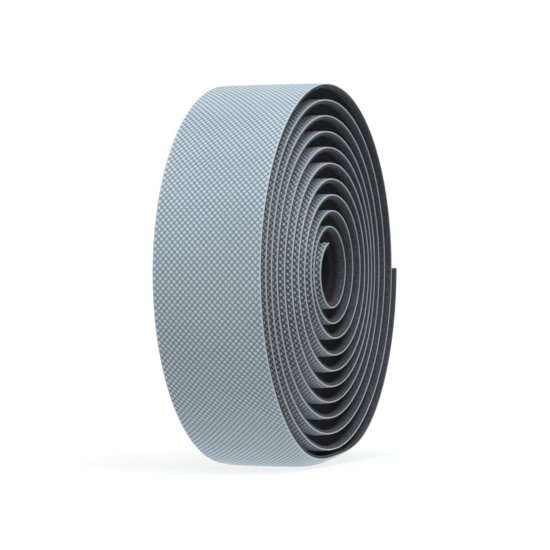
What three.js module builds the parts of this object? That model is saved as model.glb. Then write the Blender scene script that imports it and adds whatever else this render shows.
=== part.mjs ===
// A roll of handlebar tape, standing on its rim as it is shown in a shop.
// Units are millimetres and +Z is up. The roll's axis runs along Y, and the end with the coiled edges
// that the picture shows faces -Y. The loose outer end lies at the +X side.
// The tape is one bonded strip, so the whole roll is one solid: a cross-section swept along a spiral.

import * as THREE from 'three';
import { mergeVertices } from 'three/addons/utils/BufferGeometryUtils.js';

// The tape's cross-section. The back is thinned (skived) towards both long edges.
const TAPE_WIDTH = 30;
const EDGE_THICKNESS = 1.1;
const CROWN_THICKNESS = 3.6;
const SKIVE_WIDTH = 3.3;
const CROWN_RISE = 0.37;

// The winding, from the inner end outwards.
const INNER_RADIUS = 8.15;
const AIR_GAP = 0.67;
const TURNS = 10.7;
const TAIL_CLOCK_DEG = 89;

// What hand winding does to the regular spiral, one value for each turn from the inside outwards:
// how far the tape lies sideways along the axis, and how much wider than high the turn is.
const SIDEWAYS = [-0.3, 0, -0.8, -1.0, -0.8, -0.5, 0, 0.5, 0.5, 0.3, -0.1, 0];
const OVAL = [0, 0.2, 0.5, 0.9, 0.6, 0.2, -0.2, -0.3, -0.5, -0.3, 0.2, 0];

// One turn near the hole is pulled tight over a quarter of a turn.
const TIGHT_SPOT_TURN = 2.3;
const TIGHT_SPOT_DEPTH = 0.5;
const TIGHT_SPOT_SPREAD = 0.2;

// The crown flattens under tension at the top of the roll and bows out at the bottom.
const CROWN_SAG = 0.23;

// The front edge of the outer turn is pushed in where the roll has been handled, at the bottom.
const DENT_CLOCK_DEG = 175;
const DENT_DEPTH = 2.4;
const DENT_REACH = 10;
const DENT_SPREAD = 0.056;

// The foam gives a little under its own weight, which is the flat that the roll stands on.
const FLAT_PRESS = 0.42;

// How finely the spiral is stepped: the largest distance between a chord and its arc.
const CHORD_ERROR = 0.075;

const PITCH = CROWN_THICKNESS + AIR_GAP;
const HALF_WIDTH = TAPE_WIDTH / 2;
const BOTTOM_TURN = turnAtClock(180);
const DENT_TURN = turnAtClock(DENT_CLOCK_DEG);

// A smooth value between the entries of a list that has one entry for each turn.
function byTurn(list, turn) {
  const points = list.map((value, index) => new THREE.Vector2(index, value));
  return new THREE.SplineCurve(points).getPoint(turn / (list.length - 1)).y;
}

function bump(turn, place, spread) {
  return Math.exp(-(((turn - place) / spread) ** 2));
}

// The last turn's place at a clock angle in degrees.
function turnAtClock(degrees) {
  return TURNS - THREE.MathUtils.euclideanModulo(degrees - TAIL_CLOCK_DEG, 360) / 360;
}

// The clock angle, clockwise from the top as seen from the front. Outwards it runs backwards.
function clockAngle(turn) {
  return THREE.MathUtils.degToRad(TAIL_CLOCK_DEG) + 2 * Math.PI * (TURNS - turn);
}

// The radius of the tape's face at its long edges.
function edgeRadius(turn) {
  const oval = byTurn(OVAL, turn) * Math.sin(clockAngle(turn)) ** 2;
  const tight = TIGHT_SPOT_DEPTH * bump(turn, TIGHT_SPOT_TURN, TIGHT_SPOT_SPREAD);
  return INNER_RADIUS + PITCH * turn + oval - tight;
}

function dent(turn, across) {
  const fromFront = Math.max(0, 1 - (across + HALF_WIDTH) / DENT_REACH);
  return DENT_DEPTH * bump(turn, DENT_TURN, DENT_SPREAD) * fromFront ** 2;
}

function faceRadius(turn, across) {
  const share = Math.abs(across) / HALF_WIDTH;
  const rise = CROWN_RISE - CROWN_SAG * Math.cos(clockAngle(turn));
  return edgeRadius(turn) + rise * (1 - share ** 4) - dent(turn, across);
}

// How much of the full thickness there is: none at a long edge, all of it past the skived slope.
function fullness(across) {
  return Math.min(1, (HALF_WIDTH - Math.abs(across)) / SKIVE_WIDTH);
}

function thickness(across) {
  return EDGE_THICKNESS + (CROWN_THICKNESS - EDGE_THICKNESS) * fullness(across);
}

// Thick foam is squeezed under the dent and keeps its back in place. The thin edge is bent whole.
function backRadius(turn, across) {
  return faceRadius(turn, across) + dent(turn, across) * fullness(across) - thickness(across);
}

function place(turn, across, radius) {
  const angle = clockAngle(turn);
  const sideways = byTurn(SIDEWAYS, turn);
  return new THREE.Vector3(radius * Math.sin(angle), across + sideways, radius * Math.cos(angle));
}

// Where the section has its corners, as places across the width: along the face, then back.
const FACE_PLACES = [-1, -0.8, -0.4, 0.4, 0.8, 1].map((share) => share * HALF_WIDTH);
const SKIVE_CORNER = HALF_WIDTH - SKIVE_WIDTH;
const BACK_PLACES = [HALF_WIDTH, SKIVE_CORNER, -SKIVE_CORNER, -HALF_WIDTH];

function sectionAt(turn) {
  const face = FACE_PLACES.map((across) => place(turn, across, faceRadius(turn, across)));
  const back = BACK_PLACES.map((across) => place(turn, across, backRadius(turn, across)));
  return [...face, ...back];
}

// Places along the spiral from one turn to another, closer together where it is tighter.
function stepsBetween(start, end) {
  const turns = [start];
  while (turns.at(-1) < end) {
    const angle = 2 * Math.acos(1 - CHORD_ERROR / edgeRadius(turns.at(-1)));
    turns.push(turns.at(-1) + angle / (2 * Math.PI));
  }
  const stretch = (end - start) / (turns.at(-1) - start);
  return turns.map((turn) => start + (turn - start) * stretch);
}

// One step falls on the lowest place of the rim, so that the flat there is even on both sides.
function stepTurns() {
  return [...stepsBetween(0, BOTTOM_TURN), ...stepsBetween(BOTTOM_TURN, TURNS).slice(1)];
}

// A closed skin over a row of sections with the same number of corners.
function skin(sections) {
  const corners = sections[0].length;
  const faces = [];
  for (let step = 0; step < sections.length - 1; step += 1) {
    for (let corner = 0; corner < corners; corner += 1) {
      const next = (corner + 1) % corners;
      const a = step * corners + corner;
      const b = step * corners + next;
      faces.push([a, b, b + corners], [a, b + corners, a + corners]);
    }
  }
  const outline = [...FACE_PLACES, ...BACK_PLACES].map((across, corner) => {
    const isFace = corner < FACE_PLACES.length;
    return new THREE.Vector2(across, isFace ? 0 : -thickness(across));
  });
  const cap = THREE.ShapeUtils.triangulateShape(outline, []);
  const last = (sections.length - 1) * corners;
  for (const [a, b, c] of cap) {
    faces.push([a, b, c], [last + a, last + c, last + b]);
  }
  const geometry = new THREE.BufferGeometry().setFromPoints(sections.flat());
  geometry.setIndex(faces.flat());
  return geometry;
}

// Press the lowest part of the rim flat and set the roll on the ground, centred on its own box.
function standOnRim(geometry) {
  geometry.computeBoundingBox();
  const ground = geometry.boundingBox.min.z + FLAT_PRESS;
  const position = geometry.attributes.position;
  for (let index = 0; index < position.count; index += 1) {
    position.setZ(index, Math.max(ground, position.getZ(index)));
  }
  geometry.computeBoundingBox();
  const middle = geometry.boundingBox.getCenter(new THREE.Vector3());
  geometry.translate(-middle.x, -middle.y, -ground);
}

function tape() {
  const geometry = mergeVertices(skin(stepTurns().map(sectionAt)), 1e-4);
  standOnRim(geometry);
  geometry.computeVertexNormals();
  const material = new THREE.MeshStandardMaterial({ color: 0x97a5af, roughness: 0.7, metalness: 0 });
  const mesh = new THREE.Mesh(geometry, material);
  mesh.name = 'tape';
  return mesh;
}

const roll = new THREE.Group();
roll.add(tape());

export default roll;
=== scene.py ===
# %% [markdown]
# # A roll of handlebar tape
# The part is one long strip of padded tape wound on itself and stood on its rim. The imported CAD
# model fixes its size and place. This script gives it its looks: a thin embossed skin, the foam
# under it, their finishes, and a plain studio. Sizes are written in millimetres, as tape is
# measured, and MM turns them to metres where a mesh or a node needs them.

# %% Load the frame that every piece has to fit
import math

import bmesh
import bpy
import numpy as np
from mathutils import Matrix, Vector


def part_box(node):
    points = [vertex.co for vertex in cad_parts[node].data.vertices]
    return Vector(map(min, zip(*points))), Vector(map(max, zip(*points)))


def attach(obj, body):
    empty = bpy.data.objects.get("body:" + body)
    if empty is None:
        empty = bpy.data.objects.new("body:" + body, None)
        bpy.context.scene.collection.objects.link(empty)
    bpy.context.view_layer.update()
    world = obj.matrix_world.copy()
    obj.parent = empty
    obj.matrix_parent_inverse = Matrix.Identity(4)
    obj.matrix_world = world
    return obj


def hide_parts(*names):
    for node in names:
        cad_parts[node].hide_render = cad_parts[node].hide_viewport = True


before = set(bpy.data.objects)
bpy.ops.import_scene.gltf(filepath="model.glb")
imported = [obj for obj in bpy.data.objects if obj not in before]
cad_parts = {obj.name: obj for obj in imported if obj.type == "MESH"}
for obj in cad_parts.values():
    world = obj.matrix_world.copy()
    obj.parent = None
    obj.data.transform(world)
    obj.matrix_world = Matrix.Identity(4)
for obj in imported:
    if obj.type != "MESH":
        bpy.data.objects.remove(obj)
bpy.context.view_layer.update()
MM = 0.001
tape_low, tape_high = (np.array(corner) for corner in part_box("tape"))
print("the CAD roll measures, in mm:", np.round((tape_high - tape_low) / MM, 1))

# %% [markdown]
# ## The strip before it is wound
# Real tape is made flat and then rolled up, so it is made flat here too. A point of the strip is
# known by three numbers: how far it lies along the tape, how far across the width, and how deep
# under the face. These sizes are the CAD model's own.

# %% Sizes of the tape and of its winding
TAPE_WIDTH = 30.0
EDGE_THICKNESS = 1.1
CROWN_THICKNESS = 3.6
SKIVE_WIDTH = 3.3
CROWN_RISE = 0.37
CROWN_SAG = 0.23
INNER_RADIUS = 8.15
AIR_GAP = 0.67
TURNS = 10.7
TAIL_ANGLE = math.radians(89)
FLAT_PRESS = 0.42

HALF_WIDTH = TAPE_WIDTH / 2
PITCH = CROWN_THICKNESS + AIR_GAP
SKIVE_CORNER = HALF_WIDTH - SKIVE_WIDTH
print("each turn lies", round(PITCH, 2), "mm outside the one before")

# %% [markdown]
# Hand winding is never quite regular. The turns wander sideways, some are wider than high, one is
# pulled tight, and the outer edge has a dent at the bottom. Each is a smooth function of the turn,
# counted from the inner end, and goes into the mesh as an attribute that the winding reads.

# %% What hand winding adds to the regular spiral
SIDEWAYS = [-0.3, 0, -0.8, -1.0, -0.8, -0.5, 0, 0.5, 0.5, 0.3, -0.1, 0]
OVAL = [0, 0.2, 0.5, 0.9, 0.6, 0.2, -0.2, -0.3, -0.5, -0.3, 0.2, 0]
TIGHT_TURN, TIGHT_DEPTH, TIGHT_SPREAD = 2.3, 0.5, 0.2
DENT_ANGLE = math.radians(175)
DENT_TURN = TURNS - (DENT_ANGLE - TAIL_ANGLE) / math.tau
DENT_DEPTH, DENT_REACH, DENT_SPREAD = 2.4, 10.0, 0.056
print("the dent lies on turn", round(DENT_TURN, 2))


def by_turn(values, turn):
    """A smooth curve through a list that has one value for each turn (Catmull-Rom)."""
    values = np.array(values, float)
    last = len(values) - 1
    start = np.minimum(np.floor(turn).astype(int), last - 1)
    part = turn - start
    before, here = values[np.maximum(start - 1, 0)], values[start]
    after, beyond = values[start + 1], values[np.minimum(start + 2, last)]
    leave, arrive = (after - before) / 2, (beyond - here) / 2
    return ((2 * here - 2 * after + leave + arrive) * part**3
            + (3 * after - 3 * here - 2 * leave - arrive) * part**2 + leave * part + here)


def hill(turn, place, spread):
    return np.exp(-(((turn - place) / spread) ** 2))


def slack(turn, across):
    """What is added to the spiral's radius, in mm."""
    angle = TAIL_ANGLE + math.tau * (TURNS - turn)
    dent = DENT_DEPTH * np.maximum(0, 1 - (across + HALF_WIDTH) / DENT_REACH) ** 2
    return (by_turn(OVAL, turn) * np.sin(angle) ** 2
            - TIGHT_DEPTH * hill(turn, TIGHT_TURN, TIGHT_SPREAD)
            - dent * hill(turn, DENT_TURN, DENT_SPREAD))


# %% The turn that each millimetre of tape lies on
RULER_MARKS = 20001
ruler_turns = np.linspace(0, TURNS, RULER_MARKS)
ruler_radii = INNER_RADIUS + PITCH * ruler_turns + slack(ruler_turns, HALF_WIDTH)
ruler_steps = (ruler_radii[1:] + ruler_radii[:-1]) / 2 * math.tau * np.diff(ruler_turns)
ruler_along = np.concatenate([[0], np.cumsum(ruler_steps)])
TAPE_LENGTH = ruler_along[-1]
print("the strip is", round(TAPE_LENGTH), "mm long")


def turn_at(along):
    return np.interp(along, ruler_along, ruler_turns)


# %% [markdown]
# ## The emboss
# The skin is pressed between rollers that leave small raised diamonds with a groove on both
# diagonals, 1.70 mm apart along the tape and 1.60 mm across it. A bump in the material could draw
# them, but the roll's outline and the mesh would stay smooth, so they are real here.
# Rows and columns every quarter of a diamond hold that form, but only where they fall exactly on
# its corners and centres. So all rows lie on whole quarters, and only the two cut ends have a row
# of their own.

# %% Sizes of the emboss, and the rows that carry it
DIAMOND_LENGTH = 1.70
DIAMOND_WIDTH = 1.60
GROOVE_DEPTH = 0.28
ROW_STEP = DIAMOND_LENGTH / 4
COLUMN_STEP = DIAMOND_WIDTH / 4
END_MARGIN = 0.2
print("a row every", ROW_STEP, "mm and a column every", COLUMN_STEP, "mm")


def rows_between(start, end, step):
    """Places along the tape at whole steps, with both ends added. A whole step that comes nearer
    to an end than the margin, a fifth of a step, is left out."""
    first = math.ceil(start / step + END_MARGIN)
    last = math.floor(end / step - END_MARGIN)
    return np.concatenate([[start], np.arange(first, last + 1) * step, [end]])


# %% The faces of a closed band
def band_faces(row_count, ring_size):
    """Quads between each ring of points and the next, and a cap on both ends."""
    row, column = np.meshgrid(np.arange(row_count - 1), np.arange(ring_size), indexing="ij")
    corner = row * ring_size + column
    beside = row * ring_size + (column + 1) % ring_size
    quads = np.stack([corner, beside, beside + ring_size, corner + ring_size], -1).reshape(-1, 4)
    cap = list(range(ring_size))
    last = (row_count - 1) * ring_size
    return quads.tolist() + [cap[::-1], [last + i for i in cap]]


# %% A flat strip that knows where each of its points lies
def flat_strip(name, rows, ring, stretch=None):
    """A strip through all rows. The ring lists (across, depth, relief) once round its section, and
    stretch can change the depths by turn."""
    across, depth, relief = (np.array(values, float) for values in zip(*ring))
    along = np.repeat(rows, len(ring))
    turn = turn_at(along)
    side = np.tile(across, len(rows))
    depths = np.tile(depth, len(rows))
    if stretch:
        depths = stretch(turn, side, depths)
    points = np.stack([along, side, -depths], -1) * MM
    mesh = bpy.data.meshes.new(name)
    mesh.from_pydata(points.tolist(), [], band_faces(len(rows), len(ring)))
    told = {"along": along * MM, "across": side * MM, "turn": turn,
            "slack": slack(turn, side) * MM, "wander": by_turn(SIDEWAYS, turn) * MM,
            "relief": np.tile(relief, len(rows)), "depth_mm": depths}
    for attribute, values in told.items():
        mesh.attributes.new(attribute, "FLOAT", "POINT").data.foreach_set("value", values)
    corners = np.empty(len(mesh.loops), int)
    mesh.loops.foreach_get("vertex_index", corners)
    flat = np.stack([along, side], -1)[corners]
    mesh.uv_layers.new(name="tape_mm").data.foreach_set("uv", flat.ravel())
    piece = bpy.data.objects.new(name, mesh)
    bpy.context.collection.objects.link(piece)
    return piece


# %% [markdown]
# ## Winding with Geometry Nodes
# A roll follows a rule: the angle grows evenly with the turn, and the radius grows by one pitch a
# turn. A section swept along a spiral curve would make the roll too, but not the even rows that the
# diamonds need. Geometry Nodes move each point of the flat strip by the rule, which stays readable
# as inputs with names. The same tree then presses the grooves in towards the middle. Before that
# comes the one helper that adds a node, here and in the materials.


# %% One function adds any node, with its settings and links
def add_node(tree, kind, links=None, **settings):
    """The links are socket: value, where the value is a number or another node's output."""
    node = tree.nodes.new(kind)
    for name, value in settings.items():
        setattr(node, name, value)
    for socket, value in (links or {}).items():
        if isinstance(value, bpy.types.NodeSocket):
            tree.links.new(value, node.inputs[socket])
        else:
            node.inputs[socket].default_value = value
    return node


# %% The tree's inputs, and the attributes that it reads
winding = bpy.data.node_groups.new("wind_and_emboss", "GeometryNodeTree")
winding.interface.new_socket("Geometry", in_out="INPUT", socket_type="NodeSocketGeometry")
for size in ("Inner radius", "Pitch", "Turns", "Tail angle", "Half width", "Crown rise",
             "Crown sag", "Diamond length", "Diamond width", "Groove depth"):
    winding.interface.new_socket(size, in_out="INPUT", socket_type="NodeSocketFloat")
winding.interface.new_socket("Centre", in_out="INPUT", socket_type="NodeSocketVector")
winding.interface.new_socket("Finish", in_out="INPUT", socket_type="NodeSocketMaterial")
winding.interface.new_socket("Geometry", in_out="OUTPUT", socket_type="NodeSocketGeometry")

given = add_node(winding, "NodeGroupInput").outputs
read = {name: add_node(winding, "GeometryNodeInputNamedAttribute", {"Name": name},
                       data_type="FLOAT").outputs["Attribute"]
        for name in ("along", "across", "turn", "slack", "wander", "relief")}
position = add_node(winding, "GeometryNodeInputPosition").outputs[0]
height = add_node(winding, "ShaderNodeSeparateXYZ", {0: position}).outputs["Z"]
print("the tree has", len(winding.interface.items_tree) - 2, "inputs")

# %% The angle that a point is wound to
turns_left = add_node(winding, "ShaderNodeMath", {0: given["Turns"], 1: read["turn"]},
                      operation="SUBTRACT").outputs[0]
angle = add_node(winding, "ShaderNodeMath", {0: turns_left, 1: math.tau, 2: given["Tail angle"]},
                 operation="MULTIPLY_ADD").outputs[0]
sine = add_node(winding, "ShaderNodeMath", {0: angle}, operation="SINE").outputs[0]
cosine = add_node(winding, "ShaderNodeMath", {0: angle}, operation="COSINE").outputs[0]

# %% The radius: the spiral's own, the crown's rise, the slack of hand winding, and the depth
share = add_node(winding, "ShaderNodeMath", {0: read["across"], 1: given["Half width"]},
                 operation="DIVIDE").outputs[0]
square = add_node(winding, "ShaderNodeMath", {0: share, 1: share},
                  operation="MULTIPLY").outputs[0]
fourth = add_node(winding, "ShaderNodeMath", {0: square, 1: square},
                  operation="MULTIPLY").outputs[0]
inside = add_node(winding, "ShaderNodeMath", {0: 1.0, 1: fourth},
                  operation="SUBTRACT").outputs[0]
sag = add_node(winding, "ShaderNodeMath", {0: given["Crown sag"], 1: cosine},
               operation="MULTIPLY").outputs[0]
rise = add_node(winding, "ShaderNodeMath", {0: given["Crown rise"], 1: sag},
                operation="SUBTRACT").outputs[0]
crown = add_node(winding, "ShaderNodeMath", {0: rise, 1: inside, 2: read["slack"]},
                 operation="MULTIPLY_ADD").outputs[0]
spiral = add_node(winding, "ShaderNodeMath", {0: given["Pitch"], 1: read["turn"],
                                              2: given["Inner radius"]},
                  operation="MULTIPLY_ADD").outputs[0]
face = add_node(winding, "ShaderNodeMath", {0: spiral, 1: crown}, operation="ADD").outputs[0]
radius = add_node(winding, "ShaderNodeMath", {0: face, 1: height}, operation="ADD").outputs[0]

# %% The place on the spiral, pressed flat where the roll stands
wound_x = add_node(winding, "ShaderNodeMath", {0: radius, 1: sine},
                   operation="MULTIPLY").outputs[0]
wound_y = add_node(winding, "ShaderNodeMath", {0: read["across"], 1: read["wander"]},
                   operation="ADD").outputs[0]
wound_z = add_node(winding, "ShaderNodeMath", {0: radius, 1: cosine},
                   operation="MULTIPLY").outputs[0]
wound = add_node(winding, "ShaderNodeCombineXYZ", {0: wound_x, 1: wound_y, 2: wound_z}).outputs[0]
placed = add_node(winding, "ShaderNodeVectorMath", {0: wound, 1: given["Centre"]},
                  operation="ADD").outputs[0]
# The floor presses the lowest crown flat: nothing goes below a height of nought. Sideways the
# limit lies a metre out, where no part of the roll is.
LOWEST_PLACE = (-1.0, -1.0, 0.0)
on_floor = add_node(winding, "ShaderNodeVectorMath", {0: placed, 1: LOWEST_PLACE},
                    operation="MAXIMUM").outputs[0]
rolled_up = add_node(winding, "GeometryNodeSetPosition",
                     {"Geometry": given["Geometry"], "Position": on_floor}).outputs[0]
print("the winding takes", len(winding.nodes), "nodes")

# %% [markdown]
# The grooves lie where the strip's two diagonals count a whole number of diamonds. The sine of each
# diagonal is nought there, so the lower of the two sines rises from every groove to the middle of
# every diamond, with grooves of one width all along. A power below one makes the diamonds fuller.
# The skin's colour needs the same rule later, so a function adds it to any tree.


# %% How high a point lies on its diamond
def rise_of_diamond(tree, lengthwise, crosswise):
    """Nought in a groove and one in a diamond's middle, from the two places in diamonds."""
    ridges = []
    for joining in ("ADD", "SUBTRACT"):
        diagonal = add_node(tree, "ShaderNodeMath", {0: lengthwise, 1: crosswise},
                            operation=joining).outputs[0]
        half_turns = add_node(tree, "ShaderNodeMath", {0: diagonal, 1: math.pi},
                              operation="MULTIPLY").outputs[0]
        wave = add_node(tree, "ShaderNodeMath", {0: half_turns}, operation="SINE").outputs[0]
        ridges.append(add_node(tree, "ShaderNodeMath", {0: wave},
                               operation="ABSOLUTE").outputs[0])
    return add_node(tree, "ShaderNodeMath", {0: ridges[0], 1: ridges[1]},
                    operation="MINIMUM").outputs[0]


# %% Press the grooves in towards the roll's middle
PILLOW_POWER = 0.8
lengthwise = add_node(winding, "ShaderNodeMath", {0: read["along"], 1: given["Diamond length"]},
                      operation="DIVIDE").outputs[0]
crosswise = add_node(winding, "ShaderNodeMath", {0: read["across"], 1: given["Diamond width"]},
                     operation="DIVIDE").outputs[0]
lower = rise_of_diamond(winding, lengthwise, crosswise)
pillow = add_node(winding, "ShaderNodeMath", {0: lower, 1: PILLOW_POWER},
                  operation="POWER").outputs[0]
lowered = add_node(winding, "ShaderNodeMath", {0: pillow, 1: 1.0},
                   operation="SUBTRACT").outputs[0]
scaled = add_node(winding, "ShaderNodeMath", {0: lowered, 1: given["Groove depth"]},
                  operation="MULTIPLY").outputs[0]
shared = add_node(winding, "ShaderNodeMath", {0: scaled, 1: read["relief"]},
                  operation="MULTIPLY").outputs[0]
outwards = add_node(winding, "ShaderNodeCombineXYZ", {0: sine, 2: cosine}).outputs[0]
push = add_node(winding, "ShaderNodeVectorMath", {0: outwards, "Scale": shared},
                operation="SCALE").outputs[0]
embossed = add_node(winding, "GeometryNodeSetPosition",
                    {"Geometry": rolled_up, "Offset": push}).outputs[0]

# %% The tree's end
plain = add_node(winding, "GeometryNodeRealizeInstances", {0: embossed}).outputs[0]
finished = add_node(winding, "GeometryNodeSetMaterial",
                    {"Geometry": plain, "Material": given["Finish"]}).outputs[0]
add_node(winding, "NodeGroupOutput", {0: finished})
print("the whole tree has", len(winding.nodes), "nodes")

# %% Run the tree on a strip and keep the result as a plain mesh
SHARP_ANGLE = math.radians(50)


def wind(piece, centre, finish):
    """Wind the strip round the centre, and tell the lowest and highest corners of what it makes."""
    modifier = piece.modifiers.new("wind", "NODES")
    modifier.node_group = winding
    values = {"Inner radius": INNER_RADIUS * MM, "Pitch": PITCH * MM, "Turns": TURNS,
              "Tail angle": TAIL_ANGLE, "Half width": HALF_WIDTH * MM,
              "Crown rise": CROWN_RISE * MM, "Crown sag": CROWN_SAG * MM,
              "Diamond length": DIAMOND_LENGTH * MM, "Diamond width": DIAMOND_WIDTH * MM,
              "Groove depth": GROOVE_DEPTH * MM, "Centre": centre, "Finish": finish}
    for socket in winding.interface.items_tree:
        if socket.in_out == "INPUT" and socket.name in values:
            modifier[socket.identifier] = values[socket.name]
    view = bpy.context.evaluated_depsgraph_get()
    mesh = bpy.data.meshes.new_from_object(piece.evaluated_get(view), depsgraph=view,
                                           preserve_all_data_layers=True)
    piece.modifiers.clear()
    piece.data = mesh
    mesh.shade_smooth()
    mesh.set_sharp_from_angle(angle=SHARP_ANGLE)
    points = np.empty(len(mesh.vertices) * 3)
    mesh.vertices.foreach_get("co", points)
    points = points.reshape(-1, 3)
    low, high = points.min(0), points.max(0)
    triangles = sum(len(face.vertices) - 2 for face in mesh.polygons)
    print(piece.name, "has", triangles, "triangles, box in mm",
          np.round(low / MM, 2), np.round(high / MM, 2))
    return low, high


# %% [markdown]
# To find where the spiral's centre goes, a plain strip is wound round nought first and measured.
# The roll then stands as the CAD roll does: centred on its box, the lowest crown pressed flat.

# %% Find the spiral's centre in the frame
TRIAL_STEP, TRIAL_COLUMNS = 2.0, 31
trial_ring = [(across, 0, 0) for across in np.linspace(-HALF_WIDTH, HALF_WIDTH, TRIAL_COLUMNS)]
trial = flat_strip("trial_strip", rows_between(0, TAPE_LENGTH, TRIAL_STEP), trial_ring)
# It is wound a metre up, where no floor presses on it.
lift = np.array([0.0, 0.0, 1.0])
trial_low, trial_high = wind(trial, lift, None)
centre = (tape_low + tape_high - trial_low - trial_high) / 2
centre[2] = -(trial_low[2] - lift[2]) - FLAT_PRESS * MM
bpy.data.objects.remove(trial)
print("spiral centre, in mm:", np.round(centre / MM, 2))


# %% [markdown]
# ## Finishes
# The face is a polyurethane skin, cast thin, coloured through and embossed between warm rollers. It
# has a dry, faintly soft sheen, and the grooves look darker because less light gets into them; that
# shade is also painted into their colour. The knife that slits the tape to width pinches the skin
# into a smooth rim, which shows as a pale line along each turn. An image could hold the pattern,
# but a formula stays sharp from near by. It reads the strip's own millimetres, so it bends with the
# tape.


# %% Turn an sRGB hex colour into the linear values that Blender's sockets take
def linear(colour):
    channels = [int(colour[i:i + 2], 16) / 255 for i in (1, 3, 5)]
    return (*[c / 12.92 if c <= 0.04045 else ((c + 0.055) / 1.055) ** 2.4 for c in channels], 1.0)


# %% Start a finish, and read a point's place on the tape
def new_finish(name):
    """A material with its node tree and its shader."""
    finish = bpy.data.materials.new(name)
    finish.use_nodes = True
    return finish, finish.node_tree, finish.node_tree.nodes["Principled BSDF"]


def place_on_tape(tree):
    """The place along and across the tape, and the distance from the middle of its width, in mm."""
    place = add_node(tree, "ShaderNodeUVMap", uv_map="tape_mm").outputs[0]
    across = add_node(tree, "ShaderNodeSeparateXYZ", {0: place}).outputs["Y"]
    return place, add_node(tree, "ShaderNodeMath", {0: across}, operation="ABSOLUTE").outputs[0]


# %% Embossed polyurethane skin: pale diamonds, with painted shade in the grooves
# The two groove colours are painted shade: a little on the outer turn, more on the inner turns.
SKIN_COLOUR, GROOVE_SHADE_COLOUR, INNER_GROOVE_SHADE_COLOUR = "#b8c7d0", "#5d6b77", "#44505c"
# The pale tone begins at three quarters of a diamond's rise.
PALE_FROM = 0.75
# The outer turn begins where the loose end stops covering the turn under it.
INNER_TO, OUTER_FROM = TURNS - 0.98, TURNS - 0.92

skin_finish, tree, skin_shader = new_finish("embossed_polyurethane_skin")
tape_place, from_middle = place_on_tape(tree)
in_diamonds = add_node(tree, "ShaderNodeVectorMath",
                       {0: tape_place, 1: (1 / DIAMOND_LENGTH, 1 / DIAMOND_WIDTH, 0)},
                       operation="MULTIPLY").outputs[0]
counted = add_node(tree, "ShaderNodeSeparateXYZ", {0: in_diamonds}).outputs
raised = rise_of_diamond(tree, counted["X"], counted["Y"])
out_of_groove = add_node(tree, "ShaderNodeMapRange", {"Value": raised, "From Max": PALE_FROM},
                         interpolation_type="SMOOTHSTEP").outputs[0]
# The grooves of the inner turns get a darker painted shade.
turn_here = add_node(tree, "ShaderNodeAttribute", attribute_name="turn").outputs["Fac"]
on_inner = add_node(tree, "ShaderNodeMapRange",
                    {"Value": turn_here, "From Min": INNER_TO, "From Max": OUTER_FROM,
                     "To Min": 1, "To Max": 0}).outputs[0]
painted_groove_shade = add_node(tree, "ShaderNodeMix",
                       {"Factor": on_inner, 6: linear(GROOVE_SHADE_COLOUR), 7: linear(INNER_GROOVE_SHADE_COLOUR)},
                       data_type="RGBA").outputs[2]
tone = add_node(tree, "ShaderNodeMix",
                {"Factor": out_of_groove, 6: painted_groove_shade, 7: linear(SKIN_COLOUR)},
                data_type="RGBA").outputs[2]
print("diamonds:", len(tree.nodes), "nodes")

# %% The rim that the knife pinches, and the cut under it
RIM_COLOUR, CUT_COLOUR, SOILED_COLOUR = "#b3c0c9", "#9c9ea2", "#6b6e74"
# The emboss gives way to the rim between these distances from the middle of the tape.
FACE_TO, RIM_FROM = HALF_WIDTH - 0.34, HALF_WIDTH - 0.24
# The rim gives way to the cut between these depths.
RIM_TO, CUT_FROM = 0.12, 0.28

on_rim = add_node(tree, "ShaderNodeMapRange",
                  {"Value": from_middle, "From Min": FACE_TO, "From Max": RIM_FROM}).outputs[0]
with_rim = add_node(tree, "ShaderNodeMix", {"Factor": on_rim, 6: tone, 7: linear(RIM_COLOUR)},
                    data_type="RGBA").outputs[2]
depth_here = add_node(tree, "ShaderNodeAttribute", attribute_name="depth_mm").outputs["Fac"]
on_cut = add_node(tree, "ShaderNodeMapRange",
                  {"Value": depth_here, "From Min": RIM_TO, "From Max": CUT_FROM}).outputs[0]
# The cut is pale on the inner turns, and soiled by hands on the outer turn.
cut_tone = add_node(tree, "ShaderNodeMix",
                    {"Factor": on_inner, 6: linear(SOILED_COLOUR), 7: linear(CUT_COLOUR)},
                    data_type="RGBA").outputs[2]
with_cut = add_node(tree, "ShaderNodeMix", {"Factor": on_cut, 6: with_rim, 7: cut_tone},
                    data_type="RGBA").outputs[2]
print("with rim and cut:", len(tree.nodes), "nodes")

# %% Drift, grain and sheen
# Warm rollers never press evenly, so the tone drifts a little, in patches about 17 mm wide.
PATCHES_A_METRE = 60.0
DRIFT = 0.04
# The fine leathery grain between the grooves, in mm.
GRAIN_SIZE = 0.25
GRAIN_DEPTH = 0.02

object_place = add_node(tree, "ShaderNodeTexCoord").outputs["Object"]
patches = add_node(tree, "ShaderNodeTexNoise", {"Vector": object_place, "Scale": PATCHES_A_METRE,
                                                "Detail": 2.0}).outputs[0]
drift_tone = add_node(tree, "ShaderNodeMapRange",
                      {"Value": patches, "From Min": 0.3, "From Max": 0.7,
                       "To Min": 1 - DRIFT, "To Max": 1 + DRIFT}).outputs[0]
drifted = add_node(tree, "ShaderNodeVectorMath", {0: with_cut, "Scale": drift_tone},
                   operation="SCALE").outputs[0]
tree.links.new(drifted, skin_shader.inputs["Base Color"])
grain = add_node(tree, "ShaderNodeTexNoise",
                 {"Vector": object_place, "Scale": 1 / (GRAIN_SIZE * MM),
                  "Detail": 2.0}).outputs[0]
leathery = add_node(tree, "ShaderNodeBump", {"Height": grain, "Strength": 0.25,
                                             "Distance": GRAIN_DEPTH * MM}).outputs[0]
tree.links.new(leathery, skin_shader.inputs["Normal"])
skin_shader.inputs["Roughness"].default_value = 0.55
skin_shader.inputs["IOR"].default_value = 1.48
skin_shader.inputs["Specular IOR Level"].default_value = 0.35
print("skin finish:", len(tree.nodes), "nodes")
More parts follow.
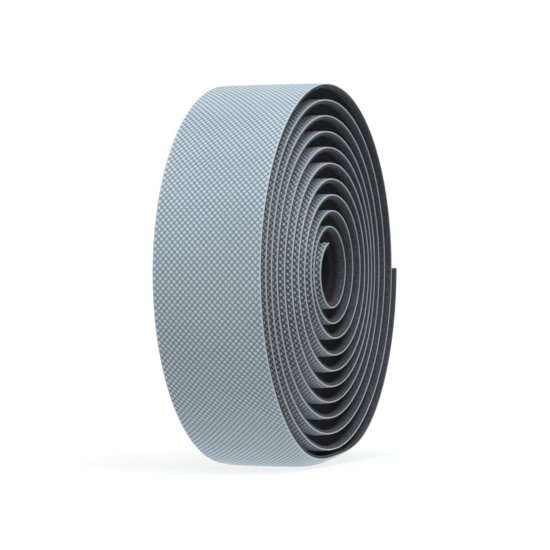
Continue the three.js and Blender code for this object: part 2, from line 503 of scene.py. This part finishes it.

# %% [markdown]
# The body is closed-cell EVA foam, blown and then slit to width, so its edges and back show cut
# cells: a charcoal ground with fine lighter specks, and no shine at all. Real cells are about
# 0.15 mm, half a pixel of the picture, so they are drawn 0.3 mm wide to show. The knife opens the
# cells of the edges and of the hollows beside them. The back between them is painted darker, as
# painted shade for the deep gaps between the turns.

# %% Slit EVA foam
FOAM_COLOUR, SPECK_COLOUR = "#2b2b30", "#606168"
CELL_SIZE = 0.3
PIT_DEPTH = 0.06
SPECK_FROM, SPECK_FULL = 0.35, 0.75
# The back has this share of the cut foam's tone, as painted shade. The two meet between these
# distances from the middle of the tape.
BACK_SHADE_SHARE = 0.3
BACK_SHADE_TO, SLIT_FROM = SKIVE_CORNER + 0.6, SKIVE_CORNER + 2.2

foam_finish, tree, foam_shader = new_finish("slit_eva_foam")
object_place = add_node(tree, "ShaderNodeTexCoord").outputs["Object"]
cells = add_node(tree, "ShaderNodeTexVoronoi",
                 {"Vector": object_place, "Scale": 1 / (CELL_SIZE * MM)}).outputs["Distance"]
speck = add_node(tree, "ShaderNodeTexNoise", {"Vector": object_place, "Detail": 2.0,
                                              "Scale": 1 / (CELL_SIZE * MM)}).outputs[0]
cut_cells = add_node(tree, "ShaderNodeMapRange",
                     {"Value": speck, "From Min": SPECK_FROM, "From Max": SPECK_FULL}).outputs[0]
foam_tone = add_node(tree, "ShaderNodeMix",
                     {"Factor": cut_cells, 6: linear(FOAM_COLOUR), 7: linear(SPECK_COLOUR)},
                     data_type="RGBA").outputs[2]
from_middle = place_on_tape(tree)[1]
# The back between the slit hollows is darkened here: painted shade.
slit_or_back_shade = add_node(tree, "ShaderNodeMapRange",
                   {"Value": from_middle, "From Min": BACK_SHADE_TO, "From Max": SLIT_FROM,
                    "To Min": BACK_SHADE_SHARE}).outputs[0]
foam_tone_with_back_shade = add_node(tree, "ShaderNodeVectorMath", {0: foam_tone, "Scale": slit_or_back_shade},
                     operation="SCALE").outputs[0]
tree.links.new(foam_tone_with_back_shade, foam_shader.inputs["Base Color"])
pits = add_node(tree, "ShaderNodeBump", {"Height": cells, "Strength": 0.5,
                                         "Distance": PIT_DEPTH * MM}).outputs[0]
tree.links.new(pits, foam_shader.inputs["Normal"])
foam_shader.inputs["Roughness"].default_value = 0.92
foam_shader.inputs["Specular IOR Level"].default_value = 0.2
print("foam finish:", len(tree.nodes), "nodes")

# %% [markdown]
# ## The skin
# Only the outer turn shows its whole face, so it gets real diamonds all over. The inner turns show
# a few millimetres beside each long edge, so only those carry them, and the hidden middle is plain.
# That keeps each piece light. The two pieces meet under the outer turn, where nobody looks. The
# last columns before each edge are the smooth rim, which stands out a little over the foam.

# %% The section of the skin
SKIN_THICKNESS = 0.42
LAST_COLUMN = int(HALF_WIDTH / COLUMN_STEP) - 1
# The rim as (across, depth): where it leaves the face, its shoulder, its foot and its underside.
RIM = [(14.75, 0.03), (14.97, 0.07), (15.0, 0.34), (14.86, SKIN_THICKNESS)]
print("the last whole column lies", round(LAST_COLUMN * COLUMN_STEP, 2), "mm from the middle")


def skin_ring(columns, plain_within, boost=1.0):
    """The face from front to back in whole columns, with the smooth rim on both sides. Columns
    nearer to the middle than plain_within carry no emboss."""
    front = [(-across, depth, 0) for across, depth in reversed(RIM)]
    face = [(column * COLUMN_STEP, 0, boost * (abs(column) >= plain_within)) for column in columns]
    back = [(across, depth, 0) for across, depth in RIM]
    return [*front, *face, *back]


# %% The outer turn's skin
# The seam lies a little more than one turn from the loose end, on a whole diamond.
SEAM_TURN = TURNS - 1.1
seam_in_diamonds = round(np.interp(SEAM_TURN, ruler_turns, ruler_along) / DIAMOND_LENGTH)
SEAM_AT = seam_in_diamonds * DIAMOND_LENGTH
outer_ring = skin_ring(range(-LAST_COLUMN, LAST_COLUMN + 1), 0)
outer_skin = flat_strip("outer_turn_skin", rows_between(SEAM_AT, TAPE_LENGTH, ROW_STEP),
                        outer_ring)
wind(outer_skin, centre, skin_finish)

# %% The inner turns' skin
# The tighter a turn is bent, the wider its grooves open, so the inner turns get a deeper relief.
INNER_BOOST = 1.8
EDGE_COLUMNS = 7
first_column = LAST_COLUMN - EDGE_COLUMNS + 1
far_columns = range(first_column, LAST_COLUMN + 1)
near_columns = [-column for column in reversed(far_columns)]
inner_ring = skin_ring([*near_columns, 0, *far_columns], first_column + 1, INNER_BOOST)
inner_skin = flat_strip("inner_turns_skin", rows_between(0, SEAM_AT, ROW_STEP), inner_ring)
wind(inner_skin, centre, skin_finish)

# %% [markdown]
# ## The foam
# The foam fills what the skin covers. A Solidify modifier would make it equally thick all over, but
# real tape isn't. Its long edges are cut square with eased corners, and its back is hollowed beside
# them, thin for nearly 3 mm before it steps to the full thickness. That leaves the deep black gaps
# that are seen between the turns. Further in, the soft foam fills the room from turn to turn.

# %% The foam body
FOAM_STEP = 1.7
TOUCH_GAP = 0.15
# The foam reaches a little into the skin, so that no light shows between them.
FOAM_TOP = SKIN_THICKNESS - 0.03
FOAM_TOP_PLACES = (-12, -6, 0, 6, 12)
# The edge as (across, depth): two points for each eased corner, two where the hollow ends, and one
# at the full thickness.
FOAM_EDGE = [(14.7, FOAM_TOP), (14.88, FOAM_TOP + 0.08), (14.88, EDGE_THICKNESS - 0.1),
             (14.72, EDGE_THICKNESS), (SKIVE_CORNER + 0.5, 1.25), (SKIVE_CORNER, 1.6),
             (SKIVE_CORNER - 0.3, CROWN_THICKNESS)]


def swell(turn, across, depth):
    """Soft foam fills the room between two turns, but not beside the edges, where it is thin."""
    room = PITCH + slack(turn, across) - slack(np.maximum(turn - 1, 0), across) - TOUCH_GAP
    middle = np.where(turn < 1, CROWN_THICKNESS, room)
    share = (depth - EDGE_THICKNESS) / (CROWN_THICKNESS - EDGE_THICKNESS)
    return np.where(share > 0, EDGE_THICKNESS + share * (middle - EDGE_THICKNESS), depth)


foam_ring = [*((across, FOAM_TOP, 0) for across in FOAM_TOP_PLACES),
             *((across, depth, 0) for across, depth in FOAM_EDGE),
             *((-across, depth, 0) for across, depth in reversed(FOAM_EDGE))]
foam = flat_strip("foam_body", rows_between(0, TAPE_LENGTH, FOAM_STEP), foam_ring, swell)
wind(foam, centre, foam_finish)

# %% [markdown]
# All three layers are bonded in the real tape. They ride on the one body and stand for the one CAD
# solid.

# %% Bind the layers to the frame
CUBIC_CM = 1e-6
for layer in (outer_skin, inner_skin, foam):
    measure = bmesh.new()
    measure.from_mesh(layer.data)
    volume = measure.calc_volume(signed=True) / CUBIC_CM
    measure.free()
    print(layer.name, "volume in cubic cm:", round(volume, 2))
    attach(layer, "root")
    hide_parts("tape")

# %% [markdown]
# ## The studio
# A shop picture on white: a pale floor that runs to the horizon, a plain world and one wide, soft
# lamp, at a level where a colour renders about as it is written. More light would make the ground
# white but wash out the roll. So floor and world are white only to the rays that see the studio.
# The floor also glows to all other rays, brightest round the roll: painted light on the roll's
# underside from below.


# %% The rays that see the studio itself
def shown_white(tree):
    """One for rays from the camera, off a gloss or through glass, and nought for all others."""
    path = add_node(tree, "ShaderNodeLightPath").outputs
    glossy_or_camera = add_node(tree, "ShaderNodeMath",
                                {0: path["Is Camera Ray"], 1: path["Is Glossy Ray"]},
                                operation="MAXIMUM").outputs[0]
    return add_node(tree, "ShaderNodeMath", {0: glossy_or_camera, 1: path["Is Transmission Ray"]},
                    operation="MAXIMUM").outputs[0]


# %% Floor
FLOOR_RADIUS = 12
PAPER_COLOUR = "#7c7c7c"
# The paper glows as painted light on the roll from below, brightest round the roll, and dimmer from
# these distances on, in metres.
BRIGHT_TO, DIM_FROM = 0.015, 0.07
BRIGHT_GLOW, DIM_GLOW, SEEN_GLOW = 1.0, 0.53, 0.78

bpy.ops.mesh.primitive_circle_add(vertices=128, radius=FLOOR_RADIUS, fill_type="NGON")
floor = bpy.context.object
floor.name = "floor"
paper, tree, paper_shader = new_finish("glowing_white_paper")
paper_shader.inputs["Base Color"].default_value = linear(PAPER_COLOUR)
paper_shader.inputs["Roughness"].default_value = 0.9
paper_shader.inputs["Specular IOR Level"].default_value = 0.0
floor_place = add_node(tree, "ShaderNodeTexCoord").outputs["Object"]
away = add_node(tree, "ShaderNodeVectorMath", {0: floor_place},
                operation="LENGTH").outputs["Value"]
# The glow is painted light: the paper lights the roll from below, brightest round it.
glow = add_node(tree, "ShaderNodeMapRange",
                {"Value": away, "From Min": BRIGHT_TO, "From Max": DIM_FROM,
                 "To Min": BRIGHT_GLOW, "To Max": DIM_GLOW},
                interpolation_type="SMOOTHSTEP").outputs[0]
lift_white = add_node(tree, "ShaderNodeMix",
                      {"Factor": shown_white(tree), 2: glow, 3: SEEN_GLOW}).outputs[0]
paper_shader.inputs["Emission Color"].default_value = (1, 1, 1, 1)
tree.links.new(lift_white, paper_shader.inputs["Emission Strength"])
floor.data.materials.append(paper)
print("the floor reaches", FLOOR_RADIUS, "m out")

# %% World
WORLD_LEVEL = 0.45
world = bpy.context.scene.world or bpy.data.worlds.new("world")
bpy.context.scene.world = world
world.use_nodes = True
tree = world.node_tree
tree.nodes.clear()
strength = add_node(tree, "ShaderNodeMapRange",
                    {"Value": shown_white(tree), "To Min": WORLD_LEVEL}).outputs[0]
sky = add_node(tree, "ShaderNodeBackground",
               {"Color": (1, 1, 1, 1), "Strength": strength}).outputs[0]
add_node(tree, "ShaderNodeOutputWorld", {"Surface": sky})
print("the world lights the roll at", WORLD_LEVEL)

# %% Lamp
LAMP_LEVEL = 0.9
LAMP_PLACE = Vector((-0.62, -0.4, 1.6))
soft_top = bpy.data.lights.new("soft_top", "SUN")
soft_top.energy = LAMP_LEVEL * math.pi
soft_top.angle = math.radians(60)
holder = bpy.data.objects.new("soft_top", soft_top)
bpy.context.collection.objects.link(holder)
holder.location = LAMP_PLACE
holder.rotation_euler = (-LAMP_PLACE).to_track_quat("-Z", "Y").to_euler()
lamp_height = math.degrees(math.asin(LAMP_PLACE.z / LAMP_PLACE.length))
print("the lamp stands", round(lamp_height), "degrees up")

# %% [markdown]
# ## The camera
# The picture was taken level with the middle of the roll, from 0.77 m, through a long lens. The
# angle is measured round from the roll's front end. The lens is known in pixels of the picture, and
# the sensor's width turns them into the millimetres that Blender takes.

# %% Camera
CAMERA_TURN = math.radians(68.418)
CAMERA_DISTANCE = 0.77277
PICTURE_WIDTH = 550
SENSOR_WIDTH = 36
FOCAL_PIXELS = 2832.67
AIM = Vector((-0.97, 1.67, 51.86)) * MM

camera = bpy.data.objects.new("camera", bpy.data.cameras.new("camera"))
bpy.context.collection.objects.link(camera)
bpy.context.scene.camera = camera
towards_roll = Vector((math.sin(CAMERA_TURN), math.cos(CAMERA_TURN), 0))
camera.location = AIM - CAMERA_DISTANCE * towards_roll
camera.rotation_euler = (math.radians(90), 0, -CAMERA_TURN)
camera.data.sensor_width = SENSOR_WIDTH
camera.data.lens = SENSOR_WIDTH * FOCAL_PIXELS / PICTURE_WIDTH
bpy.context.scene.view_settings.view_transform = "Standard"
print("the lens is", round(camera.data.lens, 1), "mm")
